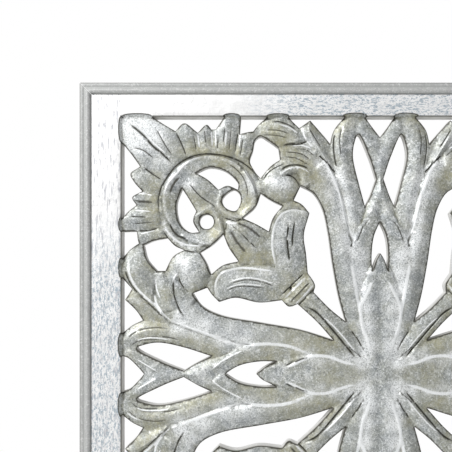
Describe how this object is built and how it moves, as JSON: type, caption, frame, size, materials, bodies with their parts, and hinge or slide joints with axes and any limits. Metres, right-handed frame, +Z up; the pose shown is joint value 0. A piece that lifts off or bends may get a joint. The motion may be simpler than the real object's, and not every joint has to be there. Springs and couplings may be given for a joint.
{
  "type": "carved openwork wall panel",
  "caption": "Square pierced and carved acanthus wall panel in a flat border with a reeded rim, flat at the back.",
  "frame": {"origin": "on the flat back, at the middle of the top border, where the panel is fixed to its wall", "axes": "+X to the right and +Z up as seen from the front, +Y out of the back; the carving faces -Y"},
  "size_m": [0.602, 0.02, 0.584],
  "materials": {
    "silvered_wood": "silver leaf over a white ground, rubbed",
    "rim_wood": "pale washed and silvered"
  },
  "bodies": {
    "root": {"carved_panel": "silvered_wood", "rim_top": "rim_wood", "rim_bottom": "rim_wood", "rim_left": "rim_wood", "rim_right": "rim_wood"}
  },
  "joints": []
}
